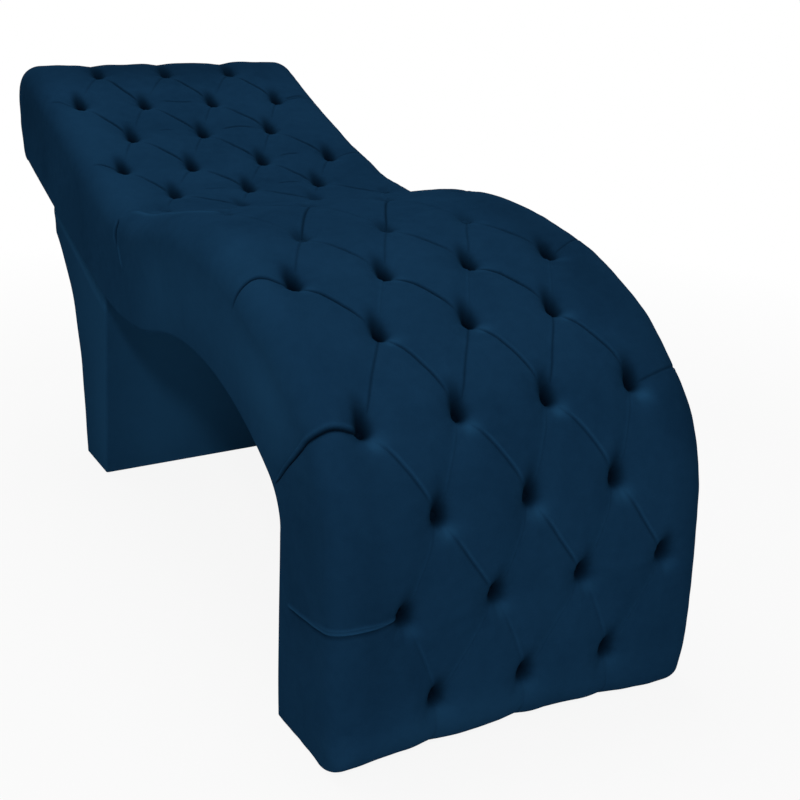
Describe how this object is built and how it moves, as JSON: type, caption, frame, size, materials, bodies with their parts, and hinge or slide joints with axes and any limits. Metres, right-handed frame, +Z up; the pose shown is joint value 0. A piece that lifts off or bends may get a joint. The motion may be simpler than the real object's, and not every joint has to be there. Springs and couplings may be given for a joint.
{
  "type": "beauty treatment table",
  "caption": "Low beauty treatment bed: a one-piece S-curved slab with a deep-buttoned velvet cover, falling to the floor at the foot end and carried by a flared slab leg at the head.",
  "frame": {"origin": "on the floor, under the middle of the bed's length and width", "axes": "+X across the bed, +Y along it from the foot end to the head end, +Z up"},
  "size_m": [0.61, 1.6002, 0.8289],
  "materials": {
    "velvet": "matte petrol-blue velvet",
    "plywood": "raw plywood",
    "timber": "raw pine",
    "hardboard": "smooth brown hardboard",
    "foam": "open-cell foam",
    "lining": "black non-woven cloth",
    "steel": "zinc plated",
    "plastic": "black nylon"
  },
  "bodies": {
    "root": {"cross_slat_1": "timber", "cross_slat_2": "timber", "cross_slat_3": "timber", "cross_slat_4": "timber", "cross_slat_5": "timber", "cross_slat_6": "timber", "cross_slat_7": "timber", "deck_sheet": "hardboard", "foam_pad": "foam", "foot_end_board": "plywood", "foot_glide_1": "plastic", "foot_glide_2": "plastic", "foot_glide_3": "plastic", "foot_glide_4": "plastic", "head_end_board": "plywood", "leg_back_panel": "plywood", "leg_bolt_1": "steel", "leg_bolt_2": "steel", "leg_bolt_3": "steel", "leg_bolt_4": "steel", "leg_centre_rib": "plywood", "leg_cover": "velvet", "leg_floor_board": "plywood", "leg_front_panel": "plywood", "leg_glide_1": "plastic", "leg_glide_2": "plastic", "leg_glide_3": "plastic", "leg_glide_4": "plastic", "leg_side_left": "plywood", "leg_side_right": "plywood", "leg_slat_back": "timber", "leg_slat_front": "timber", "leg_top_plate": "plywood", "leg_washer_1": "steel", "leg_washer_2": "steel", "leg_washer_3": "steel", "leg_washer_4": "steel", "side_rail_left": "plywood", "side_rail_right": "plywood", "underside_lining": "lining", "velvet_cover": "velvet"}
  },
  "joints": []
}
